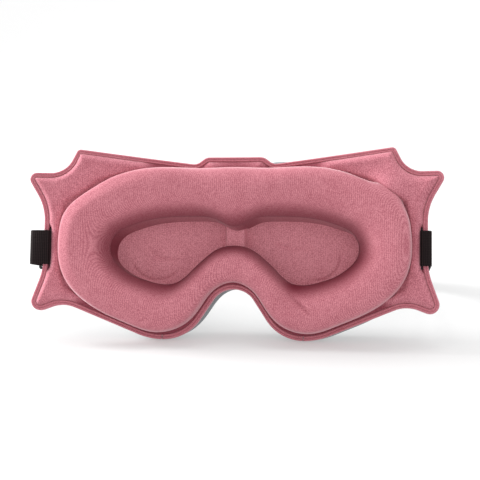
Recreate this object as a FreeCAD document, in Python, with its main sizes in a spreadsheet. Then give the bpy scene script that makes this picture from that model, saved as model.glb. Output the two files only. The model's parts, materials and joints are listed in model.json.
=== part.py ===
import FreeCAD, Part
import math
import os
import Sketcher
from FreeCAD import Placement, Rotation, Vector

# A contoured sleep eye mask that stands on its cheek lobes and leans back on its elastic strap.
# Local frame of every sub-part: X to the right, Z up the mask from the cheek lobes, Y from the face
# side (negative) to the outer side (positive). The flange is bent about an upright axis on the face
# side, so all its layers are coaxial cylinder shells trimmed by outlines. Each sub-part's Placement
# then leans it back about X.

doc = FreeCAD.newDocument("SleepEyeMask")

# ---------------------------------------------------------------- driving dimensions (mm, degrees)

DIMENSIONS = {
    "mask_width": 240.8,
    "mask_height": 111.0,
    "bend_radius": 700.0,
    "lean_angle": 18.4,
    "stand_back": -65.2,
    "stand_up": 0.58,
    "core_thick": 3.0,
    "welt_width": 2.0,
    "welt_thick": 5.2,
    "lining_thick": 2.5,
    "wing_foam_thick": 1.7,
    "fit_gap": 0.3,
    "ring_height": 15.0,
    "nose_height": 11.0,
    "ring_skin": 1.2,
    "foam_slack": 0.1,
    "liner_thick": 1.2,
    "eye_depth": 10.5,
    "bridge_width": 9.0,
    "bridge_drop": 3.0,
    "dome_depth": 14.5,
    "dome_overhang": 2.5,
    "cover_thick": 0.8,
    "slot_up": 52.8,
    "slot_height": 24.0,
    "slot_width": 2.2,
    "slot_out": 107.4,
    "bar_bare": 3.0,
    "strap_wide": 20.0,
    "strap_thick": 1.0,
    "loop_end": 2.0,
    "strap_reach": 130.0,
    "strap_left": 117.2,
    "strap_right": 113.0,
    "lap_length": 22.0,
    "slider_front": 6.0,
    "slider_long": 14.0,
    "slider_tall": 23.4,
    "slider_deep": 4.45,
    "slider_rail": 1.4,
    "slider_bar": 2.6,
    "bar_thick": 1.0,
    "slider_round": 1.2,
    "strap_play": 0.25,
    "fold_thick": 0.9,
    "fold_play": 0.05,
    "fold_lap": 6.0,
    "fold_tail": 1.0,
    "stitch_proud": 0.3,
    "stitch_wide": 1.4,
    "stitch_long": 16.0,
}

dims = doc.addObject("Spreadsheet::Sheet", "dims")
for row, (alias, value) in enumerate(DIMENSIONS.items(), start=1):
    dims.set(f"A{row}", alias)
    dims.set(f"B{row}", str(value))
    dims.setAlias(f"B{row}", alias)
doc.recompute()


def dim(alias):
    return float(dims.get(alias))


WIDTH_SCALE = dim("mask_width") / DIMENSIONS["mask_width"]
HEIGHT_SCALE = dim("mask_height") / DIMENSIONS["mask_height"]
REACH = 60.0       # how far an outline's prism runs each way, past every layer
MARGIN = 20.0      # how far a trimming tool stands past the mask at each end
PAST = 1.0         # how far a cutting tool runs past the face it opens
INTO = 0.1         # how far one cutting tool reaches into the room of the next
LEAN_AXIS = Vector(-1, 0, 0)

# ---------------------------------------------------------------- outlines, right half, top to bottom

# The mask's edge as corners, each with the radius that rounds it: brow tab, top tip, upper side
# tip, waist with the strap bar, lower side tip, cheek lobe and, on the middle line, nose arch.
EDGE = [
    (17, 107, 6), (22.5, 102.7, 6), (92.8, 111.5, 2.6), (100, 97, 13.9), (123.5, 97, 4.1),
    (111.4, 76.5, 30), (111.4, 39.9, 40), (121.3, 12.1, 5.3), (99.3, 20.5, 17.8),
    (48.6, 0, 39), (27, 0, 26), (0, 41.1, 14.2),
]
# Where the ring cushion meets the flange, and the edge of the eye openings. The two lists are
# matched point by point: each pair is one station of the cushion's cross-section.
RING_FOOT = [
    (0, 100.2), (20, 99.5), (40, 100.2), (56, 98.8), (69.5, 94.8), (83, 87.6), (95, 78.8),
    (100.5, 70.8), (102.5, 60), (102.5, 47.7), (98, 33.5), (90, 24), (74, 14.2), (60, 8.3),
    (46, 4), (36, 4.9), (26, 10), (19.5, 17.6), (12.4, 27.4), (0, 33.2),
]
EYE_EDGE = [
    (0, 66), (7, 68.3), (12.5, 70.8), (22.5, 71.8), (37.5, 71.4), (50.4, 69.5), (60, 66.5),
    (68, 62.5), (72, 56.5), (71.5, 48), (66, 41.5), (58, 36.5), (52, 34.4), (42.5, 32.2),
    (34, 33), (28.5, 36.5), (23, 42), (16.5, 48), (10, 52.8), (0, 55),
]

# The foam pads inside each wing, right side: one above the strap slot and one below it.
UPPER_PAD = [
    (58, 102.0), (72, 104.2), (85, 106.2), (89.5, 104.8), (92.5, 100.5), (97, 96.5), (103, 94),
    (110, 93.2), (115.5, 91.8), (114, 87.5), (110.5, 82), (108, 75.5), (105, 72),
    (98, 80.3), (86, 89.6), (72, 97.2),
]
LOWER_PAD = [
    (105.2, 38), (108.5, 33.5), (111.5, 27), (113.2, 22.2), (111.5, 19.8), (108, 20.3),
    (103, 22.2), (97.5, 22.8), (95.5, 25), (101, 33),
]


def mirrored(half):
    """A whole closed list of points from its right half, scaled to the mask's size."""
    right = [Vector(x * WIDTH_SCALE, z * HEIGHT_SCALE, 0) for x, z in half]
    left = [Vector(-p.x, p.y, 0) for p in right[::-1] if p.x > 0]
    return right + left


def closed_spline(points):
    curve = Part.BSplineCurve()
    curve.interpolate(Points=points, PeriodicFlag=True)
    return curve


def grown(points, distance):
    """Points on a closed spline moved outwards by distance along its own normals."""
    curve = closed_spline(points)
    moved = []
    for point in points:
        along = curve.tangent(curve.parameter(point))[0]
        outwards = Vector(-along.y, along.x, 0)
        moved.append(point + outwards * distance)
    return moved


POINTS_PER_SPAN = 4


def spline_outline(points):
    """A closed spline through the points, as several shorter edges end to end."""
    curve = closed_spline(points)
    cuts = [curve.parameter(point) for point in points[::POINTS_PER_SPAN]]
    cuts[0] = curve.FirstParameter
    cuts.append(curve.LastParameter)
    spans = []
    for start, end in zip(cuts, cuts[1:]):
        span = curve.copy()
        span.segment(start, end)
        spans.append(span)
    return spans


def left_of(along):
    return Vector(-along.y, along.x, 0)


def rounded_outline(corners, inset=0.0):
    """Straight runs joined by arcs, clockwise, from (point, radius) corners moved inwards."""
    count = len(corners)
    runs = [(corners[(i + 1) % count][0] - corners[i][0]).normalize() for i in range(count)]
    edges = []
    starts = []
    ends = []
    for index, (point, radius) in enumerate(corners):
        before = runs[index - 1]
        after = runs[index]
        turn = math.atan2(before.x * after.y - before.y * after.x, before.dot(after))
        side = 1 if turn > 0 else -1
        tangent = radius * math.tan(abs(turn) / 2)
        centre = point - before * tangent + left_of(before) * side * radius
        own_radius = radius + side * inset
        start = centre - left_of(before) * side * own_radius
        end = centre - left_of(after) * side * own_radius
        middle = centre - (left_of(before) + left_of(after)).normalize() * side * own_radius
        edges.append(Part.Arc(start, middle, end))
        starts.append(start)
        ends.append(end)
    for index in range(count):
        edges.append(Part.LineSegment(ends[index], starts[(index + 1) % count]))
    return edges


def mask_edge(inset=0.0):
    right = [(Vector(x * WIDTH_SCALE, z * HEIGHT_SCALE, 0), radius) for x, z, radius in EDGE]
    left = [(Vector(-point.x, point.y, 0), radius) for point, radius in right[::-1] if point.x > 0]
    return rounded_outline(right + left, inset)


def outline_sketch(name, outlines, depth=0.0):
    """A sketch in the upright plane at the given depth, with closed outlines in it."""
    sketch = doc.addObject("Sketcher::SketchObject", name)
    sketch.Placement = Placement(Vector(0, depth, 0), Rotation(Vector(1, 0, 0), 90))
    for edges in outlines:
        for edge in edges:
            sketch.addGeometry(edge, False)
    return sketch


def prism(name, *outlines):
    """Outlines run straight through the mask along Y; an outline inside another is a hole."""
    solid = doc.addObject("Part::Extrusion", name)
    solid.Base = outline_sketch(name + "_outline", outlines)
    solid.FaceMakerClass = "Part::FaceMakerBullseye"
    solid.DirMode = "Custom"
    solid.Dir = Vector(0, 1, 0)
    solid.LengthFwd = REACH
    solid.LengthRev = REACH
    solid.Solid = True
    return solid


def cylinder(name, radius):
    """A tall cylinder on the bend axis; radius is an expression added to the bend radius."""
    solid = doc.addObject("Part::Cylinder", name)
    solid.setExpression("Radius", f"dims.bend_radius + {radius}")
    solid.setExpression("Height", f"dims.mask_height + 2 * {MARGIN}")
    solid.setExpression("Placement.Base.y", "-dims.bend_radius")
    solid.Placement.Base.z = -MARGIN
    return solid


def cut(name, base, tool):
    solid = doc.addObject("Part::Cut", name)
    solid.Base = base
    solid.Tool = tool
    return solid


def common(name, one, other):
    solid = doc.addObject("Part::Common", name)
    solid.Base = one
    solid.Tool = other
    return solid


def layer(name, front, back):
    """The cylinder shell between two depths, each an expression in mm from the flange's middle."""
    return cut(name, cylinder(name + "_back", back), cylinder(name + "_front", front))


def box(name, lengths, corner):
    """A box whose three lengths and low corner are expressions."""
    solid = doc.addObject("Part::Box", name)
    for side, value in zip(("Length", "Width", "Height"), lengths):
        solid.setExpression(side, value)
    for axis, value in zip("xyz", corner):
        solid.setExpression(f"Placement.Base.{axis}", value)
    return solid


SUB_PARTS = []


def sub_part(solid, label, raised="0"):
    """Names a finished piece and leans it back; raised is its height up the mask before that."""
    solid.Label = label
    lean = Rotation(LEAN_AXIS, dim("lean_angle"))
    up = lean.multVec(Vector(0, 0, 0 if raised == "0" else dim(raised)))
    solid.Placement = Placement(up + Vector(0, dim("stand_back"), dim("stand_up")), lean)
    height = "0" if raised == "0" else f"dims.{raised}"
    solid.setExpression("Placement.Base.y",
                        f"dims.stand_back + {height} * sin(dims.lean_angle * 1deg)")
    solid.setExpression("Placement.Base.z",
                        f"dims.stand_up + {height} * cos(dims.lean_angle * 1deg)")
    solid.setExpression("Placement.Rotation.Angle", "dims.lean_angle")
    SUB_PARTS.append(solid)


# ---------------------------------------------------------------- tools that several pieces share

foot = mirrored(RING_FOOT)
eye = mirrored(EYE_EDGE)

edge_inside_welt = mask_edge(dim("welt_width"))
eye_clear = spline_outline(grown(eye, dim("liner_thick") + dim("fit_gap")))

FACE = "-dims.core_thick / 2"
BACK = "dims.core_thick / 2"


def slot_tools(prefix, over_bar):
    """The two strap slots through every flange layer; over_bar widens them outwards."""
    slots = []
    for side, corner in (("right", "dims.slot_out - dims.slot_width / 2"),
                         ("left", f"-dims.slot_out - dims.slot_width / 2 - {over_bar}")):
        slots.append(box(f"{prefix}_slot_{side}",
                         (f"dims.slot_width + {over_bar}", f"2 * {MARGIN}", "dims.slot_height"),
                         (corner, f"-{MARGIN}", "dims.slot_up - dims.slot_height / 2")))
    return slots


def with_slots(name, solid, over_bar="0"):
    right, left = slot_tools(name, over_bar)
    return cut(name + "_slotted", cut(name + "_half_slotted", solid, right), left)


# ---------------------------------------------------------------- flange pieces


def core_sheet():
    block = common("core_block", prism("core_prism", edge_inside_welt, eye_clear),
                   layer("core_layer", FACE, BACK))
    sub_part(with_slots("core", block), "core_sheet")


def edge_welt():
    sub_part(common("welt", prism("welt_prism", mask_edge(), edge_inside_welt),
                    layer("welt_layer", "-dims.welt_thick / 2", "dims.welt_thick / 2")),
             "edge_welt")


def wing_foam(name, side, half):
    """One pad of wing foam; half is its outline on the right side."""
    hand = 1 if side == "right" else -1
    outline = [Vector(hand * x * WIDTH_SCALE, z * HEIGHT_SCALE, 0) for x, z in half]
    return common(name, prism(name + "_prism", spline_outline(outline)),
                  layer(name + "_layer", f"{FACE} - dims.wing_foam_thick", FACE))


def wing_foams(prefix):
    return {f"{place}_{side}": wing_foam(f"{prefix}_{place}_{side}", side, half)
            for side in ("left", "right")
            for place, half in (("upper", UPPER_PAD), ("lower", LOWER_PAD))}


def face_lining():
    frame = prism("lining_frame", edge_inside_welt, spline_outline(grown(foot, dim("fit_gap"))))
    shell = layer("lining_layer", f"{FACE} - dims.lining_thick", FACE)
    lining = with_slots("lining", common("lining_block", frame, shell), "dims.bar_bare")
    for place, foam in wing_foams("lining_space").items():
        lining = cut(f"lining_over_{place}", lining, foam)
    sub_part(lining, "face_lining")


# ---------------------------------------------------------------- ring cushion

# The cushion's cross-section from its foot (0) to the eye edge (1), with its height as a share of
# the full height: a steep outer wall, a broad crest near the outside and a long inner slope.
RING_ARCH = [(0.0, 0.0), (0.03, 0.45), (0.13, 0.82), (0.32, 1.0), (0.55, 0.88), (0.78, 0.55),
             (0.94, 0.2), (1.0, 0.0)]


def bend_back(x):
    """How far the bent flange has come forward at this distance from the middle."""
    radius = dim("bend_radius")
    return radius - math.sqrt(radius * radius - x * x)


NOSE_REACH = 30.0   # how far to each side of the middle line the cushion is lower
NOSE_TOP = 50.0     # stations below this height are the cushion's lower run


def ring_height(at):
    """Full height along most of the cushion, easing down over the nose arch."""
    near_nose = max(0.0, 1 - abs(at.x) / NOSE_REACH) if at.y < NOSE_TOP else 0.0
    ease = near_nose * near_nose * (3 - 2 * near_nose)
    return dim("ring_height") + (dim("nose_height") - dim("ring_height")) * ease


def ring_arch(outer, inner, inset):
    """The arch of one station as 3-D points; inset shrinks it all round for the foam inside."""
    across = inner - outer
    width = across.Length
    floor = -dim("core_thick") / 2 - dim("fit_gap")
    height = ring_height(outer) - inset
    start = inset / width
    points = []
    for share, rise in RING_ARCH:
        at = outer + across * (start + share * (1 - 2 * start))
        points.append(Vector(at.x, floor - bend_back(at.x) - rise * height, at.y))
    return points


def open_spline(points):
    curve = Part.BSplineCurve()
    curve.interpolate(Points=points)
    return curve.toShape()


def halved(points):
    """The spline through the points, with one more point halfway along each span."""
    curve = closed_spline(points)
    knots = [curve.parameter(point) for point in points]
    knots[0] = curve.FirstParameter
    knots.append(curve.LastParameter)
    fine = []
    for start, end in zip(knots, knots[1:]):
        fine += [curve.value(start), curve.value((start + end) / 2)]
    return fine


def ring_solid(section):
    """A closed loft through one section per station, all the way round both eyes."""
    wires = [section(outer, inner) for outer, inner in zip(halved(foot), halved(eye))]
    return Part.makeLoft(wires, True, True, True)


def foam_section(outer, inner):
    arch = ring_arch(outer, inner, dim("ring_skin") + dim("foam_slack"))
    return Part.Wire([open_spline(arch), Part.LineSegment(arch[-1], arch[0]).toShape()])


def cover_section(outer, inner):
    top = ring_arch(outer, inner, 0.0)
    under = ring_arch(outer, inner, dim("ring_skin"))
    return Part.Wire([open_spline(top),
                      Part.LineSegment(top[-1], under[-1]).toShape(),
                      open_spline(under[::-1]),
                      Part.LineSegment(under[0], top[0]).toShape()])


def ring_piece(name, section):
    piece = doc.addObject("Part::Feature", name)
    piece.Shape = ring_solid(section)
    sub_part(piece, name)


# ---------------------------------------------------------------- eye cups and outer side


def eye_cup_liner():
    pan = common("liner_pan", prism("liner_outer", spline_outline(grown(eye, dim("liner_thick")))),
                 layer("liner_deep", FACE, "dims.eye_depth + dims.liner_thick"))
    hollow = common("liner_hollow", prism("liner_inner", spline_outline(eye)),
                    layer("liner_air", "-dims.core_thick", "dims.eye_depth"))
    bridge = common("liner_bridge",
                    box("liner_bridge_box",
                        ("dims.bridge_width", f"2 * {REACH}", f"dims.mask_height + 2 * {MARGIN}"),
                        ("-dims.bridge_width / 2", f"-{REACH}", f"-{MARGIN}")),
                    layer("liner_bridge_layer", "dims.bridge_drop", f"dims.eye_depth + {PAST}"))
    sub_part(cut("liner", pan, cut("liner_air_sided", hollow, bridge)), "eye_cup_liner")


WELT_REACH = 4.0   # past the dome's overhang outside the mask's edge

# The dome's outline at each depth, as a share of the way from its foot to the eye edge.
DOME_STEPS = [(-14, 0.0), (-3, 0.0), (4, 0.04), (9, 0.12), (13, 0.26), (16, 0.42), (20, 0.6)]


def dome_loft(name, swell):
    """The rounded block behind the cushion, from ahead of the flange to past the outer face."""
    rim = grown(foot, dim("dome_overhang") + swell)
    sections = []
    for depth, share in DOME_STEPS:
        outline = spline_outline([a + (b - a) * share for a, b in zip(rim, eye)])
        sections.append(outline_sketch(f"{name}_at_{len(sections)}", [outline], depth))
    loft = doc.addObject("Part::Loft", name)
    loft.Sections = sections
    loft.Solid = True
    loft.Ruled = True
    return loft


def clear_of_welt(name, solid):
    """The solid without the room that the welt takes where the dome comes close to the edge."""
    ring = prism(name + "_welt_ring", mask_edge(-WELT_REACH), edge_inside_welt)
    room = common(name + "_welt_room", ring,
                  layer(name + "_welt_depth", "-dims.core_thick", "dims.welt_thick / 2"))
    return cut(name + "_clear", solid, room)


def front_foam_block(name):
    block = common(name, dome_loft(name + "_loft", 0.0),
                   layer(name + "_layer", BACK, f"{BACK} + dims.dome_depth"))
    return clear_of_welt(name, block)


def front_foam():
    cup = common("foam_cup", prism("foam_cup_prism", eye_clear),
                 layer("foam_cup_layer", "0", "dims.eye_depth + dims.liner_thick + dims.fit_gap"))
    sub_part(cut("foam", front_foam_block("foam_block"), cup), "front_foam")


def front_cover():
    flange = common("cover_flange", prism("cover_edge", edge_inside_welt),
                    layer("cover_flange_layer", BACK, f"{BACK} + dims.cover_thick"))
    dome = clear_of_welt("cover_dome", common(
        "cover_dome_block", dome_loft("cover_loft", dim("cover_thick")),
        layer("cover_dome_layer", BACK, f"{BACK} + dims.dome_depth + dims.cover_thick")))
    both = doc.addObject("Part::Fuse", "cover_both")
    both.Base = flange
    both.Tool = dome
    skin = cut("cover_skin", both, front_foam_block("cover_foam"))
    sub_part(with_slots("cover", skin), "front_cover")


# ---------------------------------------------------------------- strap, in plan view


def ribbon_edges(path, radii, thick):
    """A flat strip seen edge-on: a path of straight runs with rounded turns, given a thickness."""
    sides = []
    for offset in (thick / 2, -thick / 2):
        edges = []
        at = None
        for index, point in enumerate(path):
            before = (point - path[index - 1]).normalize() if index else None
            after = (path[index + 1] - point).normalize() if index + 1 < len(path) else None
            if before is None or after is None:
                along = after if before is None else before
                end = point + Vector(-along.y, along.x, 0) * offset
                if at is not None:
                    edges.append(Part.LineSegment(at, end))
                at = end
                continue
            turn = before.x * after.y - before.y * after.x
            angle = math.atan2(turn, before.dot(after))
            setback = radii[index - 1] * math.tan(abs(angle) / 2)
            inward = 1 if turn > 0 else -1
            centre = (point - before * setback
                      + Vector(-before.y, before.x, 0) * inward * radii[index - 1])
            radius = radii[index - 1] - inward * offset
            spoke_in = Vector(before.y, -before.x, 0) * inward * radius
            spoke_out = Vector(after.y, -after.x, 0) * inward * radius
            spoke_mid = (spoke_in + spoke_out).normalize() * radius
            edges.append(Part.LineSegment(at, centre + spoke_in))
            edges.append(Part.Arc(centre + spoke_in, centre + spoke_mid, centre + spoke_out))
            at = centre + spoke_out
        sides.append(edges)
    return sides


def ribbon_sketch(body, name, path, radii, thick):
    """The strip's outline as a sketch in the body's plan (XY) plane."""
    sketch = body.newObject("Sketcher::SketchObject", name)
    plane = [f for f in body.Origin.OriginFeatures if f.Role == "XY_Plane"][0]
    sketch.AttachmentSupport = [(plane, "")]
    sketch.MapMode = "FlatFace"
    one, other = ribbon_edges(path, radii, thick)
    for edges in (one, other):
        for part_edge in edges:
            sketch.addGeometry(part_edge, False)
    for which in (0, -1):
        ends = [(edges[which].StartPoint if which == 0 else edges[which].EndPoint)
                for edges in (one, other)]
        sketch.addGeometry(Part.LineSegment(*ends), False)
    return sketch


def strip_body(name, strips, wide="dims.strap_wide"):
    """A body of one or more strips standing on edge, centred on the slots' height."""
    body = doc.addObject("PartDesign::Body", name)
    for index, (path, radii, thick) in enumerate(strips):
        pad = body.newObject("PartDesign::Pad", f"{name}_pad_{index}")
        pad.Profile = ribbon_sketch(body, f"{name}_path_{index}", path, radii, thick)
        pad.setExpression("Length", wide)
        pad.Midplane = True
    return body


def strap_piece(label, strips):
    """Strap pieces are drawn about height 0 and raised to the slots before they lean back."""
    sub_part(strip_body(label, strips), label, "slot_up")


# The run round the back of the head: how far short of its far side it starts to turn, the two
# corners of the far side, and the radius of each turn.
TURN_SHORT = 28.0
FAR_CORNERS = (-62.0, 58.0)
TURN_RADII = [50, 120, 120, 50]


def strap_band():
    """The elastic from the left loop, round the back, to the right loop, with its sewn lap."""
    start = dim("loop_end")
    left = -dim("strap_left")
    right = dim("strap_right")
    reach = dim("strap_reach")
    thick = dim("strap_thick")
    path = [Vector(left, start, 0), Vector(left, reach - TURN_SHORT, 0),
            Vector(FAR_CORNERS[0], reach, 0), Vector(FAR_CORNERS[1], reach, 0),
            Vector(right, reach - TURN_SHORT, 0), Vector(right, start, 0)]
    lap = [Vector(right - thick, start, 0),
           Vector(right - thick, start + dim("lap_length"), 0)]
    strap_piece("strap_band", [(path, TURN_RADII, thick), (lap, [], thick)])


BAR_MIDDLE = 2.5       # from a slot's middle out to the middle of its bar
OVER_BAR = 1.1         # from the bar's face to the middle of the elastic in front of it
BEHIND_BAR = 0.8       # and behind it, where the elastic leaves the slot
INNER_RUN = 114.0      # where the inner run on the slider's side leaves for the slider
LOOP_RADII = {"left": [2.4, 1.2, 1.6, 2.5], "right": [1.6, 1.2, 1.6, 2.5]}


def bar_depth():
    """Depth of the strap bar's middle, which the bend brings forward."""
    return -bend_back(dim("slot_out") + BAR_MIDDLE)


def strap_loops():
    """The elastic where it threads each slot and turns over the bar at the edge."""
    start = dim("loop_end")
    slot = dim("slot_out")
    over = bar_depth() - dim("welt_thick") / 2 - OVER_BAR
    behind = bar_depth() + dim("welt_thick") / 2 + BEHIND_BAR
    thick = dim("strap_thick")
    outer = dim("strap_left")
    left = [Vector(-outer, start, 0), Vector(-outer - 0.2, over, 0), Vector(-slot, over, 0),
            Vector(-slot, behind, 0), Vector(-INNER_RUN, -1, 0), Vector(-INNER_RUN, start, 0)]
    strap_piece("strap_loop_left", [(left, LOOP_RADII["left"], thick)])
    inner = dim("strap_right") - thick
    right = [Vector(dim("strap_right"), start, 0), Vector(dim("strap_right"), over, 0),
             Vector(slot, over, 0), Vector(slot, behind, 0), Vector(inner, 1, 0),
             Vector(inner, start, 0)]
    strap_piece("strap_loop_right", [(right, LOOP_RADII["right"], thick)])


# ---------------------------------------------------------------- slider and what is sewn to it


def fold_middle():
    """Distance from the middle plane of the mask to the slider's centre bar."""
    return (dim("strap_left") - dim("strap_thick") / 2 - dim("strap_play") - dim("fold_thick")
            - dim("fold_play") - dim("bar_thick") / 2)


def slider():
    """A moulded slider: two rails, two outer bars over the strap and a centre bar under it."""
    outer_face = (dim("strap_left") + dim("strap_thick") / 2 + dim("strap_play")
                  + dim("bar_thick"))
    front = dim("slider_front")
    long = dim("slider_long")
    tall = dim("slider_tall")
    deep = dim("slider_deep")
    bar = dim("slider_bar")
    window = tall - 2 * dim("slider_rail")
    body = doc.addObject("PartDesign::Body", "slider")

    def rectangle(name, x_low, x_high, y_low, y_high):
        sketch = body.newObject("Sketcher::SketchObject", name)
        plane = [f for f in body.Origin.OriginFeatures if f.Role == "XY_Plane"][0]
        sketch.AttachmentSupport = [(plane, "")]
        sketch.MapMode = "FlatFace"
        corners = [Vector(x_low, y_low, 0), Vector(x_high, y_low, 0),
                   Vector(x_high, y_high, 0), Vector(x_low, y_high, 0)]
        for index in range(4):
            sketch.addGeometry(Part.LineSegment(corners[index], corners[(index + 1) % 4]), False)
        for index in range(4):
            sketch.addConstraint(Sketcher.Constraint("Coincident", index, 2, (index + 1) % 4, 1))
        return sketch

    def pocket(name, sketch):
        hollow = body.newObject("PartDesign::Pocket", name)
        hollow.Profile = sketch
        hollow.Length = window
        hollow.setExpression("Length", "dims.slider_tall - 2 * dims.slider_rail")
        hollow.Midplane = True
        return hollow

    block = body.newObject("PartDesign::Pad", "slider_block")
    block.Profile = rectangle("slider_plan", -outer_face, -outer_face + deep, front, front + long)
    block.Length = tall
    block.setExpression("Length", "dims.slider_tall")
    block.Midplane = True
    doc.recompute()
    rounding = body.newObject("PartDesign::Fillet", "slider_rounding")
    rim = [f"Edge{number}" for number, line in enumerate(block.Shape.Edges, start=1)
           if abs(abs(line.CenterOfMass.z) - tall / 2) < 0.01]
    rounding.Base = (block, rim)
    rounding.setExpression("Radius", "dims.slider_round")
    bar_out = dim("bar_thick")
    pocket("strap_way", rectangle("strap_way_plan", -outer_face + bar_out,
                                  -outer_face + deep - bar_out, front - PAST, front + long + PAST))
    pocket("outer_window", rectangle("outer_window_plan", -outer_face - PAST,
                                     -outer_face + bar_out + INTO, front + bar,
                                     front + long - bar))
    middle = front + long / 2
    for name, low, high in (("inner_front", front - PAST, middle - bar / 2),
                            ("inner_back", middle + bar / 2, front + long + PAST)):
        pocket(name, rectangle(name + "_plan", -outer_face + deep - bar_out - INTO,
                               -outer_face + deep + PAST, low, high))
    sub_part(body, "slider", "slot_up")


def folded_end():
    """The strap's end folded round the slider's centre bar, and the run from it to the slot."""
    thick = dim("fold_thick")
    bar_at = -fold_middle()
    bar = dim("slider_bar")
    middle = dim("slider_front") + dim("slider_long") / 2
    side = dim("bar_thick") / 2 + dim("fold_play") + thick / 2
    inner = bar_at + side
    outer = bar_at - side
    turn = middle + bar / 2 + dim("fit_gap") + thick / 2
    lap = middle - bar / 2 - dim("fold_lap")
    start = dim("loop_end")
    wrap = [Vector(inner, lap, 0), Vector(inner, turn, 0), Vector(outer, turn, 0),
            Vector(outer, middle - bar / 2 - dim("fold_tail"), 0)]
    strap_piece("strap_folded_end", [(wrap, [thick, thick], thick)])
    run = [Vector(inner, start, 0), Vector(inner, lap, 0)]
    strap_piece("strap_inner_run", [(run, [], thick)])


# How far behind the mask's middle each row of thread lies.
LAP_STITCHES = (7.0, 20.0)
FOLD_STITCHES = (7.5,)


def bar_tack(label, x_face, side, places):
    """Rows of thread that stand a little proud of the strap's surface."""
    proud = dim("stitch_proud")
    wide = dim("stitch_wide")
    x_middle = x_face + side * proud / 2
    rows = [([Vector(x_middle, y - wide / 2, 0), Vector(x_middle, y + wide / 2, 0)], [], proud)
            for y in places]
    pieces = []
    for index, row in enumerate(rows):
        pieces.append(strip_body(f"{label}_row_{index}", [row], "dims.stitch_long"))
    group = doc.addObject("Part::Compound", label)
    group.Links = pieces
    sub_part(group, label, "slot_up")


slider()
core_sheet()
edge_welt()
face_lining()
for pad_place, pad in wing_foams("pad").items():
    sub_part(pad, f"wing_foam_{pad_place}")
ring_piece("ring_cover", cover_section)
ring_piece("ring_foam", foam_section)
eye_cup_liner()
front_foam()
front_cover()
strap_band()
strap_loops()
folded_end()
bar_tack("bar_tack_right", dim("strap_right") - 1.5 * dim("strap_thick"), -1, LAP_STITCHES)
bar_tack("bar_tack_left",
         -fold_middle() + dim("bar_thick") / 2 + dim("fold_play") + dim("fold_thick"), 1,
         FOLD_STITCHES)
doc.recompute()

# ---------------------------------------------------------------- checks and export

for item in doc.Objects:
    bad = {"Invalid", "Error"} & set(item.State)
    if bad:
        raise RuntimeError(f"{item.Label}: {sorted(bad)}")
for piece in SUB_PARTS:
    if piece.Shape.isNull() or not piece.Shape.isValid():
        raise RuntimeError(f"{piece.Label}: the shape is null or not valid")

os.makedirs("parts", exist_ok=True)
for piece in SUB_PARTS:
    piece.Shape.exportStep(f"parts/{piece.Label}.step")
    print(piece.Label, len(piece.Shape.Solids), round(piece.Shape.Volume), "mm3")
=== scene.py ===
"""Looks of the contoured sleep eye mask: cloth, cushion, elastic strap and slider on the CAD frame."""

import json
import math

import bmesh
import bpy
import numpy as np
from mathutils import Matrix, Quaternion, Vector
from mathutils.geometry import delaunay_2d_cdt


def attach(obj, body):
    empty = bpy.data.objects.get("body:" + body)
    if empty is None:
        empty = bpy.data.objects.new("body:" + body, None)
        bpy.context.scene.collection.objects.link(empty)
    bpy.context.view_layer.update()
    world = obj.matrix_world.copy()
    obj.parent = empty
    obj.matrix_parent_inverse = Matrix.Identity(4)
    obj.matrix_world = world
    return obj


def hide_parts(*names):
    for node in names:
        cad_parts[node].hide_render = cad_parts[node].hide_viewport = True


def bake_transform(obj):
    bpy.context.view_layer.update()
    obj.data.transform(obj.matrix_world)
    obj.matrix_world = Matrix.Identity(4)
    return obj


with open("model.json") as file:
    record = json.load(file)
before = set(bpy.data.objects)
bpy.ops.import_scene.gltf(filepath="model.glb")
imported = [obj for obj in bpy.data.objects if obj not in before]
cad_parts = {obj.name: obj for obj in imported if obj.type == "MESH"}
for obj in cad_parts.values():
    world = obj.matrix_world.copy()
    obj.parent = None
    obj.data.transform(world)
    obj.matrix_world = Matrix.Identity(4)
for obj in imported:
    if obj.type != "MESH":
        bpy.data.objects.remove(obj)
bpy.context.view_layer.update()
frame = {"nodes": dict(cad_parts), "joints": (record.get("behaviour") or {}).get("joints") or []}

MM = 0.001

# ---------------------------------------------------------------- where the mask stands
# Lengths below are in millimetres in the mask's own axes: u to its right side, v up the mask from
# the cheek edge, w through it, away from the wearer's face. placed() bends and leans them.

joints = {joint["name"]: joint for joint in frame["joints"]}
BEND_RADIUS = 700.0
SLOT_UP = 52.8
SLOT_U = 109.9
RIGHT = np.array([1.0, 0.0, 0.0])
OUT = np.array(joints["slider_travel"]["axis"], float)
UP = np.array([0.0, -OUT[2], OUT[1]])


def bend_back(u):
    """How far the bend carries a point back at this distance from the middle line."""
    return BEND_RADIUS - np.sqrt(BEND_RADIUS ** 2 - np.square(u))


SLOT_BEND = float(bend_back(SLOT_U))
ORIGIN = np.array(joints["strap_swing"]["pos_m"]) - MM * (SLOT_UP * UP - SLOT_BEND * OUT)


def straight(local):
    """Row positions in metres of local points that the mask's bend does not carry."""
    u, v, w = np.moveaxis(np.asarray(local, float), -1, 0)
    return ORIGIN + MM * (u[..., None] * RIGHT + v[..., None] * UP + w[..., None] * OUT)


def placed(local):
    """Row positions in metres of local points on the bent mask."""
    local = np.array(local, float)
    local[..., 2] -= bend_back(local[..., 0])
    return straight(local)


# ---------------------------------------------------------------- outlines, right half, top to bottom

# The mask's edge as corners, each with the radius that rounds it.
EDGE = [
    (17, 107, 6), (22.5, 102.7, 6), (92.8, 111.5, 2.6), (100, 97, 13.9), (123.5, 97, 4.1),
    (111.4, 76.5, 30), (111.4, 39.9, 40), (121.3, 12.1, 5.3), (99.3, 20.5, 17.8),
    (48.6, 0, 39), (27, 0, 26), (0, 41.1, 14.2),
]
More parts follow.
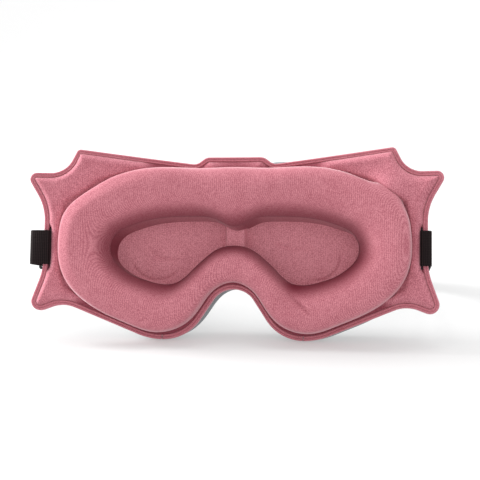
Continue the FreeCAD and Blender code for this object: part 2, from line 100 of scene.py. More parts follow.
# Where the ring cushion meets the flange, and the edge of the eye openings, station by station.
RING_FOOT = [
    (0, 100.2), (20, 99.5), (40, 100.2), (56, 98.8), (69.5, 94.8), (83, 87.6), (95, 78.8),
    (100.5, 70.8), (102.5, 60), (102.5, 47.7), (98, 33.5), (90, 24), (74, 14.2), (60, 8.3),
    (46, 4), (36, 4.9), (26, 10), (19.5, 17.6), (12.4, 27.4), (0, 33.2),
]
EYE_EDGE = [
    (0, 66), (7, 68.3), (12.5, 70.8), (22.5, 71.8), (37.5, 71.4), (50.4, 69.5), (60, 66.5),
    (68, 62.5), (72, 56.5), (71.5, 48), (66, 41.5), (58, 36.5), (52, 34.4), (42.5, 32.2),
    (34, 33), (28.5, 36.5), (23, 42), (16.5, 48), (10, 52.8), (0, 55),
]
STATION_STEP = 1.1
RUN_STEP = 1.5 * STATION_STEP
SMALLEST_RADIUS = 0.05
SHORTEST = 1e-12


def whole(half):
    """Both sides of the mask from a list for its right side."""
    left = [(-item[0],) + tuple(item[1:]) for item in half[::-1] if item[0] > 0]
    return np.array(list(half) + left, float)


def spline(points, steps, closed=False):
    """A smooth curve through points, with steps[i] equal parts on span i."""
    knots = np.array(points, float)
    count = len(knots)
    spans = count if closed else count - 1
    reach = np.linalg.norm(np.roll(knots, -1, axis=0) - knots, axis=1)
    matrix = np.eye(count)
    right = np.zeros_like(knots)
    for i in range(0 if closed else 1, count if closed else count - 1):
        after = (i + 1) % count
        matrix[i, i] = 2 * (reach[i - 1] + reach[i])
        matrix[i, i - 1] = reach[i - 1]
        matrix[i, after] = reach[i]
        right[i] = 6 * ((knots[after] - knots[i]) / reach[i]
                        - (knots[i] - knots[i - 1]) / reach[i - 1])
    bend = np.linalg.solve(matrix, right)
    curve = []
    for i in range(spans):
        after = (i + 1) % count
        length = reach[i]
        past = np.linspace(0, length, steps[i], endpoint=False)[:, None]
        left = length - past
        curve.append((bend[i] * left ** 3 + bend[after] * past ** 3) / (6 * length)
                     + (knots[i] / length - bend[i] * length / 6) * left
                     + (knots[after] / length - bend[after] * length / 6) * past)
    if not closed:
        curve.append(knots[-1:])
    return np.concatenate(curve)


def station_steps(points):
    """How many stations each gap of a closed outline is cut into."""
    gaps = np.linalg.norm(np.roll(points, -1, axis=0) - points, axis=1)
    return np.maximum(1, np.ceil(gaps / STATION_STEP)).astype(int)


foot_knots = whole(RING_FOOT)
ring_steps = station_steps(foot_knots)
foot = spline(foot_knots, ring_steps, closed=True)
eye = spline(whole(EYE_EDGE), ring_steps, closed=True)


def side_of(along):
    """A direction turned a quarter to its left."""
    return np.array([-along[1], along[0]])


def mask_edge(inset):
    """The mask's edge moved inwards, with the same stations whatever the inset."""
    corners = whole(EDGE)
    count = len(corners)
    points = corners[:, :2]
    runs = np.roll(points, -1, axis=0) - points
    runs /= np.linalg.norm(runs, axis=1)[:, None]
    bends = []
    setbacks = []
    for i, (point, radius) in enumerate(zip(points, corners[:, 2])):
        before, after = runs[i - 1], runs[i]
        turn = math.atan2(before[0] * after[1] - before[1] * after[0], before @ after)
        sign = 1 if turn > 0 else -1
        setbacks.append(radius * math.tan(abs(turn) / 2))
        centre = point - before * setbacks[-1] + side_of(before) * sign * radius
        own = max(radius + sign * inset, SMALLEST_RADIUS)
        parts = max(3, math.ceil(abs(turn) * radius / STATION_STEP))
        start = math.atan2(*(-side_of(before) * sign)[::-1])
        angles = start + turn * np.linspace(0, 1, parts + 1)
        bends.append(centre + own * np.stack([np.cos(angles), np.sin(angles)], axis=1))
    outline = []
    for i in range(count):
        arc, ahead = bends[i], bends[(i + 1) % count]
        gap = np.linalg.norm(points[(i + 1) % count] - points[i])
        gap -= setbacks[i] + setbacks[(i + 1) % count]
        parts = max(1, round(gap / RUN_STEP))
        run = np.linspace(arc[-1], ahead[0], parts, endpoint=False)[1:]
        outline += [arc, run]
    return np.concatenate(outline)


def distance_to(points, outline):
    """Each point's distance to a closed outline."""
    starts = outline
    along = np.roll(outline, -1, axis=0) - starts
    flat = points.reshape(-1, 2)
    nearest = np.full(len(flat), np.inf)
    for start, run in zip(starts, along):
        share = np.clip((flat - start) @ run / max(run @ run, SHORTEST), 0, 1)
        gap = flat - start - share[:, None] * run
        nearest = np.minimum(nearest, np.einsum("ij,ij->i", gap, gap))
    return np.sqrt(nearest).reshape(points.shape[:-1])


def inside(points, outline):
    """Whether each point lies within a closed outline."""
    x, y = points[:, 0], points[:, 1]
    within = np.zeros(len(points), bool)
    for (ax, ay), (bx, by) in zip(outline, np.roll(outline, -1, axis=0)):
        if ay != by:
            crosses = ((ay > y) != (by > y)) & (x < ax + (y - ay) * (bx - ax) / (by - ay))
            within ^= crosses
    return within


def inset_outline(outline, distance):
    """A smooth clockwise outline moved inwards along its own normals."""
    along = np.roll(outline, -1, axis=0) - np.roll(outline, 1, axis=0)
    along /= np.linalg.norm(along, axis=1)[:, None]
    return outline + distance * np.stack([along[:, 1], -along[:, 0]], axis=1)


def eased(value):
    """0 to 1 with a soft start and end."""
    value = np.clip(value, 0, 1)
    return value * value * (3 - 2 * value)


# ---------------------------------------------------------------- meshes


def finished_mesh(name, positions, faces, uvs, material, inwards=False):
    """A smooth piece whose faces look outwards, or into it, with its cloth coordinates."""
    mesh = bpy.data.meshes.new(name)
    mesh.from_pydata([tuple(p) for p in positions], [], faces)
    shell = bmesh.new()
    shell.from_mesh(mesh)
    bmesh.ops.recalc_face_normals(shell, faces=shell.faces)
    if inwards:
        bmesh.ops.reverse_faces(shell, faces=shell.faces)
    shell.to_mesh(mesh)
    shell.free()
    layer = mesh.uv_layers.new(name="cloth")
    corners = np.empty(len(mesh.loops), int)
    mesh.loops.foreach_get("vertex_index", corners)
    layer.data.foreach_set("uv", (np.asarray(uvs)[corners] * MM).ravel())
    mesh.polygons.foreach_set("use_smooth", [True] * len(mesh.polygons))
    mesh.validate()
    piece = bpy.data.objects.new(name, mesh)
    bpy.context.scene.collection.objects.link(piece)
    mesh.materials.append(material)
    return piece


def grid_faces(rows, columns, closed_rows=False, closed_columns=True, first=0, flip=False):
    """The faces between rows of points, numbered row by row from first."""
    faces = []
    for r in range(rows if closed_rows else rows - 1):
        for c in range(columns if closed_columns else columns - 1):
            after_r = (r + 1) % rows
            after_c = (c + 1) % columns
            face = [r * columns + c, r * columns + after_c,
                    after_r * columns + after_c, after_r * columns + c]
            if flip:
                face = face[::-1]
            faces.append([first + corner for corner in face])
    return faces


# A staggered grid's row spacing and its distance from the outline, as shares of its spacing.
ROW_SPACING = 0.866
KEEP_CLEAR = 0.55
JOIN_WITHIN = 1e-7


def filled(outline, spacing):
    """Points of a staggered grid within an outline, and the triangles that join both."""
    low, high = outline.min(axis=0), outline.max(axis=0)
    rows = np.arange(low[1], high[1], spacing * ROW_SPACING)
    columns = np.arange(low[0], high[0], spacing)
    grid = np.array([(x + spacing / 2 * (i % 2), y) for i, y in enumerate(rows) for x in columns])
    grid = grid[inside(grid, outline)]
    grid = grid[distance_to(grid, outline) > spacing * KEEP_CLEAR]
    points = np.concatenate([outline, grid])
    ring = list(range(len(outline)))
    result = delaunay_2d_cdt([Vector(p) for p in points], [], [ring], 1, JOIN_WITHIN)
    return points, [list(face) for face in result[2]]


# ---------------------------------------------------------------- materials


CLOTH_SPECULAR = 0.25
NO_TINT = (1, 1, 1)
PINKISH = (1.0, 0.86, 0.89)


def shader(name, roughness, sheen=0.0, sheen_roughness=0.4, sheen_tint=NO_TINT):
    material = bpy.data.materials.new(name)
    material.use_nodes = True
    nodes, links = material.node_tree.nodes, material.node_tree.links
    surface = nodes["Principled BSDF"]
    surface.inputs["Roughness"].default_value = roughness
    surface.inputs["Sheen Weight"].default_value = sheen
    surface.inputs["Sheen Roughness"].default_value = sheen_roughness
    surface.inputs["Sheen Tint"].default_value = (*sheen_tint, 1)
    surface.inputs["Specular IOR Level"].default_value = CLOTH_SPECULAR
    return material, nodes, links, surface


def noise(nodes, links, coordinates, size_mm, detail=2.0):
    """Uneven patches of about this size."""
    mapping = nodes.new("ShaderNodeMapping")
    mapping.inputs["Scale"].default_value = [1 / (size_mm * MM)] * 3
    links.new(coordinates, mapping.inputs["Vector"])
    texture = nodes.new("ShaderNodeTexNoise")
    texture.inputs["Scale"].default_value = 1.0
    texture.inputs["Detail"].default_value = detail
    links.new(mapping.outputs["Vector"], texture.inputs["Vector"])
    return texture.outputs["Fac"]


WAVE_SCALE = 0.314
WAVE_DETAIL = 1.0
WAVE_DETAIL_SCALE = 0.12


def ribs(nodes, links, coordinates, period_mm, distortion, direction="X"):
    """Fine parallel knit lines, a little wavy."""
    mapping = nodes.new("ShaderNodeMapping")
    mapping.inputs["Scale"].default_value = [1 / (period_mm * MM)] * 3
    links.new(coordinates, mapping.inputs["Vector"])
    texture = nodes.new("ShaderNodeTexWave")
    texture.bands_direction = direction
    texture.inputs["Scale"].default_value = WAVE_SCALE
    texture.inputs["Distortion"].default_value = distortion
    texture.inputs["Detail"].default_value = WAVE_DETAIL
    texture.inputs["Detail Scale"].default_value = WAVE_DETAIL_SCALE
    links.new(mapping.outputs["Vector"], texture.inputs["Vector"])
    return texture.outputs["Fac"]


def blended(nodes, links, factor, dark, light, spread=(0.3, 0.7)):
    """A colour between dark and light, over this spread of the factor."""
    ramp = nodes.new("ShaderNodeValToRGB")
    ramp.color_ramp.elements[0].position = spread[0]
    ramp.color_ramp.elements[1].position = spread[1]
    ramp.color_ramp.elements[0].color = (*dark, 1)
    ramp.color_ramp.elements[1].color = (*light, 1)
    links.new(factor, ramp.inputs["Fac"])
    return ramp.outputs["Color"]


def weighted(nodes, links, parts):
    """The weighted sum of several texture values."""
    total = None
    for value, weight in parts:
        scaled = nodes.new("ShaderNodeMath")
        scaled.operation = "MULTIPLY"
        links.new(value, scaled.inputs[0])
        scaled.inputs[1].default_value = weight
        if total is None:
            total = scaled.outputs[0]
            continue
        added = nodes.new("ShaderNodeMath")
        added.operation = "ADD"
        links.new(total, added.inputs[0])
        links.new(scaled.outputs[0], added.inputs[1])
        total = added.outputs[0]
    return total


def relief(nodes, links, surface, height, depth_mm, strength):
    """Raises and lowers the surface's shading with the height."""
    bump = nodes.new("ShaderNodeBump")
    bump.inputs["Strength"].default_value = strength
    bump.inputs["Distance"].default_value = depth_mm * MM
    links.new(height, bump.inputs["Height"])
    links.new(bump.outputs["Normal"], surface.inputs["Normal"])


def linear(red, green, blue):
    """A shader colour from 0-255 display values."""
    return tuple((c / 255 / 12.92) if c <= 10 else ((c / 255 + 0.055) / 1.055) ** 2.4
                 for c in (red, green, blue))


CLOTH_ROUGH = 0.85
CLOTH_SHEEN_ROUGH = 0.35
MOTTLE_MM = 9.0
MOTTLE_SHARE = 0.12
LINE_WAVER = 1.6
CLOTH_SPREAD = (0.37, 0.61)


def cloth(name, dark, light, grain_mm, line_mm, line_share, depth_mm, strength, sheen,
          deep=None):
    """Brushed knit: mottled colour, fine fibre grain and faint knit lines; given a shade colour, also
    painted shade that darkens it and takes off its sheen.
    """
    material, nodes, links, surface = shader(name, CLOTH_ROUGH, sheen, CLOTH_SHEEN_ROUGH, PINKISH)
    place = nodes.new("ShaderNodeTexCoord")
    uv = nodes.new("ShaderNodeUVMap")
    uv.uv_map = "cloth"
    grain = noise(nodes, links, place.outputs["Object"], grain_mm, 3.0)
    mottle = noise(nodes, links, place.outputs["Object"], MOTTLE_MM)
    knit = ribs(nodes, links, uv.outputs["UV"], line_mm, LINE_WAVER)
    grain_share = 1 - MOTTLE_SHARE - line_share
    tone = weighted(nodes, links, [(grain, grain_share), (mottle, MOTTLE_SHARE),
                                   (knit, line_share)])
    colour = blended(nodes, links, tone, dark, light, CLOTH_SPREAD)
    # Painted shade: where the mesh's shade attribute is high, the colour goes to the shade colour and
    # the sheen fades out.
    if deep:
        painted_shade = nodes.new("ShaderNodeAttribute")
        painted_shade.attribute_name = SHADE_ATTRIBUTE
        mixed = nodes.new("ShaderNodeMix")
        mixed.data_type = "RGBA"
        links.new(painted_shade.outputs["Fac"], mixed.inputs["Factor"])
        links.new(colour, mixed.inputs["A"])
        mixed.inputs["B"].default_value = (*deep, 1)
        colour = mixed.outputs["Result"]
        sheen_in_shade = nodes.new("ShaderNodeMapRange")
        links.new(painted_shade.outputs["Fac"], sheen_in_shade.inputs["Value"])
        sheen_in_shade.inputs["To Min"].default_value = sheen
        sheen_in_shade.inputs["To Max"].default_value = 0.0
        links.new(sheen_in_shade.outputs["Result"], surface.inputs["Sheen Weight"])
    links.new(colour, surface.inputs["Base Color"])
    height = weighted(nodes, links, [(grain, 1.0 - line_share), (knit, line_share)])
    relief(nodes, links, surface, height, depth_mm, strength)
    return material


# How much painted shade each point carries, standing in for the shade in hollows and creases: its
# colour goes towards the shade colour below and its sheen fades out.
SHADE_ATTRIBUTE = "painted_shade"
SHADE_WINE = linear(112, 32, 48)
RING_KNIT = cloth("ring_knit", linear(161, 85, 98), linear(203, 131, 141), 0.55, 1.15, 0.12,
                  0.16, 0.7, 0.6, SHADE_WINE)
HEATHER = cloth("face_heather", linear(159, 85, 98), linear(206, 132, 143), 0.55, 1.1, 0.06,
                0.18, 0.8, 0.6, SHADE_WINE)
EYE_FLEECE = cloth("eye_fleece", linear(184, 108, 120), linear(220, 147, 157), 0.55, 1.3, 0.05,
                   0.16, 0.7, 0.4, SHADE_WINE)
WELT_CLOTH = cloth("welt_cloth", linear(168, 92, 104), linear(204, 130, 141), 0.4, 1.0, 0.05,
                   0.08, 0.4, 0.6)
OUTER_CLOTH = cloth("outer_cloth", linear(124, 130, 133), linear(150, 156, 158), 0.5, 0.9, 0.15,
                    0.08, 0.4, 0.2)


CORDS_MM = 0.9
CORDS_WAVER = 0.4
CORDS_SHARE = 0.2
RIB_LINES_MM = 1.1
RIB_LINES_WAVER = 0.6
RIB_LINES_SHARE = 0.45
FUZZ_MM = 0.5
FUZZ_SHARE = 0.35
ELASTIC_ROUGH = 0.7
ELASTIC_SHEEN = 0.08
ELASTIC_SPECULAR = 0.06
ELASTIC_RELIEF_MM = 0.25


def webbing(name):
    """Black woven elastic: lengthwise cords crossed by fine rib lines."""
    material, nodes, links, surface = shader(name, ELASTIC_ROUGH, ELASTIC_SHEEN, 0.4,
                                             (0.9, 0.8, 0.8))
    surface.inputs["Specular IOR Level"].default_value = ELASTIC_SPECULAR
    uv = nodes.new("ShaderNodeUVMap")
    uv.uv_map = "cloth"
    across = ribs(nodes, links, uv.outputs["UV"], CORDS_MM, CORDS_WAVER, "Y")
    along = ribs(nodes, links, uv.outputs["UV"], RIB_LINES_MM, RIB_LINES_WAVER, "X")
    fuzz = noise(nodes, links, uv.outputs["UV"], FUZZ_MM)
    tone = weighted(nodes, links, [(across, CORDS_SHARE), (along, RIB_LINES_SHARE),
                                   (fuzz, FUZZ_SHARE)])
    colour = blended(nodes, links, tone, linear(12, 8, 9), linear(44, 35, 36), (0.25, 0.8))
    links.new(colour, surface.inputs["Base Color"])
    relief(nodes, links, surface, tone, ELASTIC_RELIEF_MM, 0.8)
    return material


ELASTIC = webbing("strap_elastic")


PLASTIC_ROUGH = 0.28
PLASTIC_SPECULAR = 0.5
PLASTIC_FLOW_MM = 1.2
PLASTIC_RELIEF_MM = 0.03


def moulded(name):
    """Black moulded plastic with a faint flow texture."""
    material, nodes, links, surface = shader(name, PLASTIC_ROUGH)
    surface.inputs["Base Color"].default_value = (*linear(24, 23, 24), 1)
    surface.inputs["Specular IOR Level"].default_value = PLASTIC_SPECULAR
    place = nodes.new("ShaderNodeTexCoord")
    flow = noise(nodes, links, place.outputs["Object"], PLASTIC_FLOW_MM)
    relief(nodes, links, surface, flow, PLASTIC_RELIEF_MM, 0.25)
    return material


SLIDER_PLASTIC = moulded("slider_plastic")


THREAD_ROUGH = 0.55
THREAD_SHEEN = 0.2
THREAD_TWIST_MM = 0.3


def thread_material(name):
    """Dark twisted sewing thread."""
    material, nodes, links, surface = shader(name, THREAD_ROUGH, THREAD_SHEEN)
    place = nodes.new("ShaderNodeTexCoord")
    twist = noise(nodes, links, place.outputs["Object"], THREAD_TWIST_MM, 1.0)
    colour = blended(nodes, links, twist, linear(18, 16, 17), linear(44, 40, 41))
    links.new(colour, surface.inputs["Base Color"])
    return material


THREAD = thread_material("thread")


FOAM_ROUGH = 0.9
FOAM_CELLS_MM = 0.6
FOAM_RELIEF_MM = 0.1


def foam_material(name):
    """Fine-celled foam, of the cover's colour."""
    material, nodes, links, surface = shader(name, FOAM_ROUGH)
    place = nodes.new("ShaderNodeTexCoord")
    cells = noise(nodes, links, place.outputs["Object"], FOAM_CELLS_MM, 3.0)
    colour = blended(nodes, links, cells, linear(120, 60, 72), linear(160, 86, 99))
    links.new(colour, surface.inputs["Base Color"])
    relief(nodes, links, surface, cells, FOAM_RELIEF_MM, 0.6)
    return material


CORE_FOAM = foam_material("core_foam")

# ---------------------------------------------------------------- ring cushion

CORE_HALF = 1.5
FLANGE_FACE = -1.8
RING_HEIGHT = 15.0
NOSE_HEIGHT = 11.0
NOSE_REACH = 30.0
NOSE_TOP = 50.0
# Cross-section from the foot to the eye edge: share of the way across, share of the height.
RING_ARCH = [
    (0.025, -0.12), (0.015, 0.06), (0.005, 0.24), (0.008, 0.45), (0.025, 0.67), (0.07, 0.85),
    (0.15, 0.96), (0.27, 1.0), (0.42, 0.99), (0.56, 0.955), (0.68, 0.865), (0.79, 0.7),
    (0.88, 0.46), (0.945, 0.2), (0.985, 0.0), (0.998, -0.08),
]
ARCH_PARTS = 3
# At the two sides the outer wall leans in as it rises, a little more on the left.
LEAN_FROM = 70.0
LEAN_OVER = 20.0
LEAN_LEFT = 2.2
LEAN_RIGHT = 0.9
# On the left the shoulder is rounder: how far it drops, at and about which share of the way.
SOFT_FROM = 40.0
SOFT_OVER = 35.0
SOFT_DROP = 1.3
SOFT_AT = 0.12
SOFT_WIDE = 0.11
# At the upper right the wall runs out softly into the wing, which rises to meet it: how far the
# wall's foot runs out, how far the wing rises, and up to which share of the wall.
MERGE_AT = np.array([89.0, 84.5])
MERGE_WIDE = 10.0
MERGE_OUT = 7.0
MERGE_PAD = 5.5
MERGE_TOP = 0.9
OUTER_SHARE = 0.2
# Painted shade: the cover's colour deepens towards the shade colour from here on its slope down to the
# eye edge, by this much at most.
SHADE_START = 0.7
SHADE_END = 0.97
SHADE_MOST = 0.62
# On the side of each eye that the light reaches, the painted shade starts sooner and goes deeper.
LIT_SIDE = np.array([0.5, -0.85])
LIT_SOONER = 0.16
LIT_DEEPER = 0.32
# The soft crease on the right cheek: its two ends, how deep it is and how wide, how fast it fades
# at its ends, and the lip beside it, as a share of its depth.
CREASE = ((33.0, 26.5), (46.5, 13.0))
CREASE_DEEP = 1.3
CREASE_WIDE = 1.3
CREASE_FADE = 1.6
CREASE_LIP = 0.9
LIP_ASIDE = 2.2
LIP_WIDE = 1.8
# Painted shade laid along the crease, growing with its depth.
CREASE_SHADE = 0.25
# Painted shade that gathers round the crease's upper end.
SHADE_DARK = 0.3
SHADE_WIDE = 7.0


def ring_height(u, v):
    """The cushion's height at each station, lower beside the nose."""
    near_nose = np.where(v < NOSE_TOP, np.clip(1 - np.abs(u) / NOSE_REACH, 0, 1), 0)
    return RING_HEIGHT + (NOSE_HEIGHT - RING_HEIGHT) * eased(near_nose)


def crease_depth(u, v):
    """A narrow fold with one soft lip, fading out at its ends."""
    start, end = np.array(CREASE[0]), np.array(CREASE[1])
    along = end - start
    length = np.linalg.norm(along)
    along = along / length
    du, dv = u - start[0], v - start[1]
    share = (du * along[0] + dv * along[1]) / length
    aside = dv * along[0] - du * along[1]
    fade = eased(1 - np.abs(share - 0.5) * CREASE_FADE)
    lip = CREASE_LIP * np.exp(-((aside + LIP_ASIDE) / LIP_WIDE) ** 2)
    return CREASE_DEEP * fade * (np.exp(-(aside / CREASE_WIDE) ** 2) - lip)


def merging(points):
    """1 where the wall and the wing merge, fading to 0 around it."""
    return np.exp(-(np.linalg.norm(points - MERGE_AT, axis=-1) / MERGE_WIDE) ** 2)


# How the knit lines follow the cushion's depth as it turns.
KNIT_RIGHT = 1.2
KNIT_UP = 0.5


def ring_cushion():
    """The knit cover, with painted shade down its slopes to the eye edges and round the crease; also
    returns its rows and columns.
    """
    arch = spline(RING_ARCH, [ARCH_PARTS] * (len(RING_ARCH) - 1))
    share, rise = arch[:, 0][:, None], arch[:, 1][:, None]
    u = foot[:, 0] + (eye[:, 0] - foot[:, 0]) * share
    v = foot[:, 1] + (eye[:, 1] - foot[:, 1]) * share
    height = ring_height(foot[:, 0], foot[:, 1])[None, :]
    sideways = eased((np.abs(foot[:, 0]) - LEAN_FROM) / LEAN_OVER)
    lean = np.where(foot[:, 0] < 0, LEAN_LEFT, -LEAN_RIGHT) * sideways
    u = u + lean * np.clip(rise, 0, 1) * (1 - share) ** 2
    run_out = (inset_outline(foot, -1.0) - foot) * MERGE_OUT * merging(foot)[:, None]
    low = (np.clip(1 - rise / MERGE_TOP, 0, 1) * (share < OUTER_SHARE))[..., None]
    u, v = u + (run_out * low)[..., 0], v + (run_out * low)[..., 1]
    leftness = eased((-foot[:, 0] - SOFT_FROM) / SOFT_OVER)
    soft = SOFT_DROP * leftness * np.exp(-((share - SOFT_AT) / SOFT_WIDE) ** 2)
    w = FLANGE_FACE - rise * height + soft + crease_depth(u, v)
    local = np.stack([u, v, w], axis=-1)
    uvs = np.stack([u - KNIT_RIGHT * w, v - KNIT_UP * w], axis=-1).reshape(-1, 2)
    rows, columns = u.shape
    piece = finished_mesh("ring_cushion", placed(local).reshape(-1, 3),
                          grid_faces(rows, columns), uvs, RING_KNIT)
    # Painted shade down the slopes to the eye edges and round the crease.
    painted_shade = piece.data.attributes.new(SHADE_ATTRIBUTE, "FLOAT", "POINT")
    outwards = eye - inset_outline(eye, 1.0)
    lit = np.clip(outwards @ LIT_SIDE, 0, 1)[None, :]
    start = SHADE_START - LIT_SOONER * lit
    shade_amount = (SHADE_MOST + LIT_DEEPER * lit) * eased(
        (share - start) / (SHADE_END - start))
    beside = np.exp(-(((u - CREASE[0][0]) ** 2 + (v - CREASE[0][1]) ** 2) / SHADE_WIDE ** 2))
    shade_amount += CREASE_SHADE * np.clip(crease_depth(u, v), 0, 1) + SHADE_DARK * beside
    shade_amount = np.clip(shade_amount, 0, 1)
    painted_shade.data.foreach_set("value", shade_amount.ravel())
    return piece, rows, columns


ring, ring_rows, ring_columns = ring_cushion()
PINNED_ROWS = 3
PUFF_LIMIT = 0.0012
PUFF_FRAMES = 20
PUFF_QUALITY = 5
PUFF_MASS = 0.15
PUFF_STIFFNESS = 12
PUFF_BENDING = 2
PUFF_PRESSURE = 4.0


def puffed(piece, rows, columns):
    """Cloth simulation: the cover is held at the foot and the eye edge and filled from inside."""
    count = rows * columns
    rest = np.empty(count * 3)
    piece.data.vertices.foreach_get("co", rest)
    rest = rest.reshape(-1, 3)
    held = piece.vertex_groups.new(name="held")
    edge_rows = list(range(PINNED_ROWS)) + list(range(rows - PINNED_ROWS, rows))
    held.add([r * columns + c for r in edge_rows for c in range(columns)], 1.0, "REPLACE")
    cloth_sim = piece.modifiers.new("filled", "CLOTH")
    settings = cloth_sim.settings
    settings.quality = PUFF_QUALITY
    settings.mass = PUFF_MASS
    settings.tension_stiffness = PUFF_STIFFNESS
    settings.compression_stiffness = PUFF_STIFFNESS
    settings.bending_stiffness = PUFF_BENDING
    settings.use_pressure = True
    settings.uniform_pressure_force = PUFF_PRESSURE
    settings.effector_weights.gravity = 0
    settings.vertex_group_mass = "held"
    cloth_sim.collision_settings.use_collision = False
    cloth_sim.point_cache.frame_start = 1
    cloth_sim.point_cache.frame_end = PUFF_FRAMES
    scene = bpy.context.scene
    for step in range(1, PUFF_FRAMES + 1):
        scene.frame_set(step)
    settled = piece.evaluated_get(bpy.context.evaluated_depsgraph_get()).to_mesh()
    moved = np.empty(count * 3)
    settled.vertices.foreach_get("co", moved)
    move = moved.reshape(-1, 3) - rest
    far = np.linalg.norm(move, axis=1)[:, None]
    move *= np.minimum(1, PUFF_LIMIT / np.maximum(far, 1e-9))
    piece.modifiers.remove(cloth_sim)
    piece.data.vertices.foreach_set("co", (rest + move).ravel())
    piece.data.update()
    scene.frame_set(1)


puffed(ring, ring_rows, ring_columns)
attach(ring, "mask")
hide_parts("ring_cover", "ring_foam")

# ---------------------------------------------------------------- face lining with padded wings

# Its edge, and how far past each slot's end that edge steps back.
LINING_INSET = 2.95
SLOT_INSET = 4.2
SLOT_HALF = 12.4
SLOT_PAST = 1.0
SLOT_FADE = 1.6
SLOT_FROM = 100.0
# Its rows, closer together at its edge, and how they reach the ring.
LINING_ROWS = 26
ROWS_CLOSER = 1.7
UNDER_RING = 1.6
TUCKED_ROWS = 3
TUCKED_DEPTH = -3.2
MATCH_REACH = 7
MATCH_SPREAD = 0.05
# Its surface: the groove, the pad with its rounded rim, and the dip at the ring.
GROOVE_DEPTH = -2.0
PAD_RISE = 3.3
PAD_EASE = 1.5
PILLOW_RISE = 0.6
RIM_IN = 3.2
RIM_WIDE = 2.2
RING_DIP = 0.3
DIP_WIDE = 1.8
LINING_TURN = 0.6
# Where the ring comes close to the welt, the lining sinks into a valley between them, with painted
# shade in it.
NARROW_REACH = 5.5
NARROW_FADE = 2.5
NARROW_SUNK = 0.6
NARROW_SHADE = 0.75


def slot_nearness(outline):
    """1 beside a strap slot and 0 away from it, along the mask's edge."""
    u, v = outline[:, 0], outline[:, 1]
    return (eased((SLOT_HALF + SLOT_PAST - np.abs(v - SLOT_UP)) / SLOT_FADE)
            * (np.abs(u) > SLOT_FROM))


def matched(edge, target):
    """For each edge station, the point of the target outline to join it to, in order."""
    gaps = np.linalg.norm(edge[:, None, :] - target[None, :, :], axis=2)
    nearest = gaps.argmin(axis=1).astype(float)
    size = len(target)
    steps = (np.diff(np.append(nearest, nearest[0])) + size / 2) % size - size / 2
    steps = np.maximum(steps, 0) + MATCH_SPREAD
    places = nearest[0] + np.concatenate([[0], np.cumsum(steps)[:-1]]) * size / steps.sum()
    wrapped = np.concatenate([places[-MATCH_REACH:] - size, places, places[:MATCH_REACH] + size])
    kernel = np.ones(2 * MATCH_REACH + 1) / (2 * MATCH_REACH + 1)
    smooth = np.convolve(wrapped, kernel, mode="valid")
    low = np.floor(smooth).astype(int)
    share = (smooth - low)[:, None]
    return target[low % size] * (1 - share) + target[(low + 1) % size] * share


outer_edge = mask_edge(0.0)
near_slot = slot_nearness(outer_edge)[:, None]
lining_edge = (mask_edge(LINING_INSET) * (1 - near_slot) + mask_edge(SLOT_INSET) * near_slot)


def lining_depth(points):
    """The lining's surface: a groove at the welt, a soft pad, and a dip where the ring stands."""
    from_edge = distance_to(points, lining_edge)
    from_ring = distance_to(points, foot)
    rise = 1 - np.exp(-from_edge / PAD_EASE)
    pillow = np.exp(-((from_edge - RIM_IN) / RIM_WIDE) ** 2)
    dip = np.exp(-(from_ring / DIP_WIDE) ** 2)
    merged = MERGE_PAD * merging(points) * (1 - np.exp(-from_edge / RIM_IN))
    return GROOVE_DEPTH - PAD_RISE * rise - PILLOW_RISE * pillow + RING_DIP * dip * rise - merged


def face_lining():
    """The heather lining from the welt's groove in under the ring, with painted shade in its narrow
    valleys.
    """
    target = matched(lining_edge, foot)
    inwards = target - lining_edge
    reach = np.linalg.norm(inwards, axis=1)[:, None]
    narrow = eased((NARROW_REACH - reach) / NARROW_FADE)
    target = lining_edge + inwards * (1 + UNDER_RING / reach)
    share = (np.linspace(0, 1, LINING_ROWS) ** ROWS_CLOSER)[:, None, None]
    front = lining_edge + (target - lining_edge) * share
    depth = lining_depth(front)
    depth = GROOVE_DEPTH + (depth - GROOVE_DEPTH) * (1 - NARROW_SUNK * narrow[:, 0])
    depth[-TUCKED_ROWS:] = np.maximum(depth[-TUCKED_ROWS:], TUCKED_DEPTH)
    local = np.concatenate([front, depth[..., None]], axis=-1)
    back = np.stack([np.column_stack([target, np.full(len(target), -CORE_HALF)]),
                     np.column_stack([lining_edge, np.full(len(target), -CORE_HALF)])])
    local = np.concatenate([local, back])
    rows, columns = local.shape[:2]
    uvs = (local[..., :2] - LINING_TURN * local[..., 2:]).reshape(-1, 2)
    piece = finished_mesh("face_lining_pads", placed(local).reshape(-1, 3),
                          grid_faces(rows, columns, closed_rows=True), uvs, HEATHER)
    # Painted shade in the narrow valleys between the ring and the welt.
    painted_shade = piece.data.attributes.new(SHADE_ATTRIBUTE, "FLOAT", "POINT")
    painted_shade.data.foreach_set("value", np.tile(NARROW_SHADE * narrow[:, 0], rows))
    return piece


lining = face_lining()
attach(lining, "mask")
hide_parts("face_lining", "wing_foam_upper_left", "wing_foam_upper_right",
            "wing_foam_lower_left", "wing_foam_lower_right")

# ---------------------------------------------------------------- edge welt

# The pressed edge bead's cross-section: inset from the edge, depth through the mask.
WELT_SECTION = [
    (2.9, -1.6), (2.82, -2.05), (2.5, -2.4), (2.05, -2.5), (1.7, -2.25), (1.5, -1.9), (1.25, -2.35),
    (0.9, -2.62), (0.45, -2.5), (0.12, -1.9), (0.0, -0.8), (0.0, 0.5), (0.06, 1.5), (0.35, 2.3),
    (0.85, 2.6), (1.45, 2.6), (1.95, 2.2), (2.15, 1.5), (2.15, 0.0),
]


